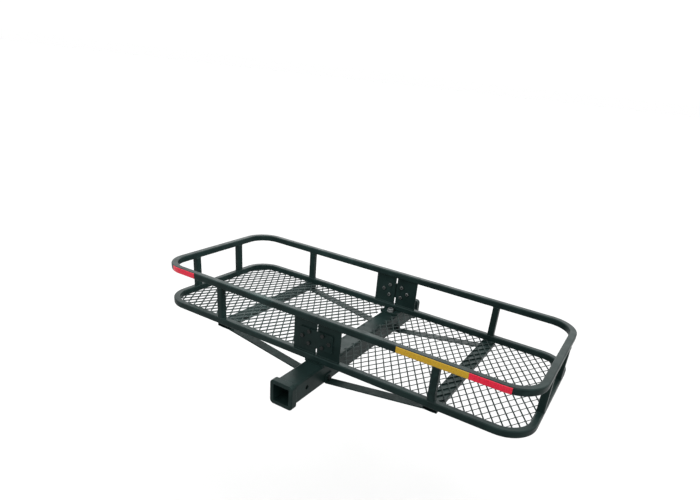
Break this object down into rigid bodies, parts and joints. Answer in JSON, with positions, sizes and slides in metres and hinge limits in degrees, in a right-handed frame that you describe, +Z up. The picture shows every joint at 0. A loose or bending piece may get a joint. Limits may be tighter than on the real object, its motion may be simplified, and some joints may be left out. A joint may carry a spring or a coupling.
{
  "type": "hitch cargo carrier",
  "caption": "Basket-style hitch cargo carrier in two bolted halves of bent square tube with an expanded-metal floor, braces and a central square receiver tube.",
  "frame": {"origin": "on the axis of the hitch pin hole, at the middle of the receiver tube", "axes": "+X along the length of the basket and along the pin hole, -Y out of the mouth that takes the hitch bar, +Z up"},
  "size_m": [1.524, 0.952, 0.2654],
  "materials": {
    "frame_paint": "satin",
    "floor_paint": "satin",
    "black_fasteners": "satin",
    "plated_fasteners": "satin",
    "red_tape": "gloss",
    "amber_tape": "gloss"
  },
  "bodies": {
    "root": {"brace_cross_bolts": "black_fasteners", "brace_cross_nuts": "plated_fasteners", "brace_tube_bolts": "black_fasteners", "front_collar": "frame_paint", "front_left_brace": "frame_paint", "front_left_joint_plate": "frame_paint", "front_left_upright": "frame_paint", "front_right_brace": "frame_paint", "front_right_joint_plate": "frame_paint", "front_right_upright": "frame_paint", "front_saddle_plate": "frame_paint", "front_splice_bolts": "black_fasteners", "front_splice_nuts": "plated_fasteners", "front_splice_plate": "frame_paint", "left_cross_member": "frame_paint", "left_end_front_upright": "frame_paint", "left_end_rear_upright": "frame_paint", "left_lower_rail": "frame_paint", "left_mesh_panel": "floor_paint", "left_red_tape": "red_tape", "left_upper_rail": "frame_paint", "rear_collar": "frame_paint", "rear_left_brace": "frame_paint", "rear_left_joint_plate": "frame_paint", "rear_left_upright": "frame_paint", "rear_right_brace": "frame_paint", "rear_right_joint_plate": "frame_paint", "rear_right_upright": "frame_paint", "rear_saddle_plate": "frame_paint", "rear_splice_bolts": "black_fasteners", "rear_splice_nuts": "plated_fasteners", "rear_splice_plate": "frame_paint", "receiver_tube": "frame_paint", "right_amber_tape": "amber_tape", "right_cross_member": "frame_paint", "right_end_front_upright": "frame_paint", "right_end_rear_upright": "frame_paint", "right_lower_rail": "frame_paint", "right_mesh_panel": "floor_paint", "right_red_tape": "red_tape", "right_upper_rail": "frame_paint", "saddle_bolts": "plated_fasteners", "saddle_washers": "plated_fasteners"}
  },
  "joints": []
}
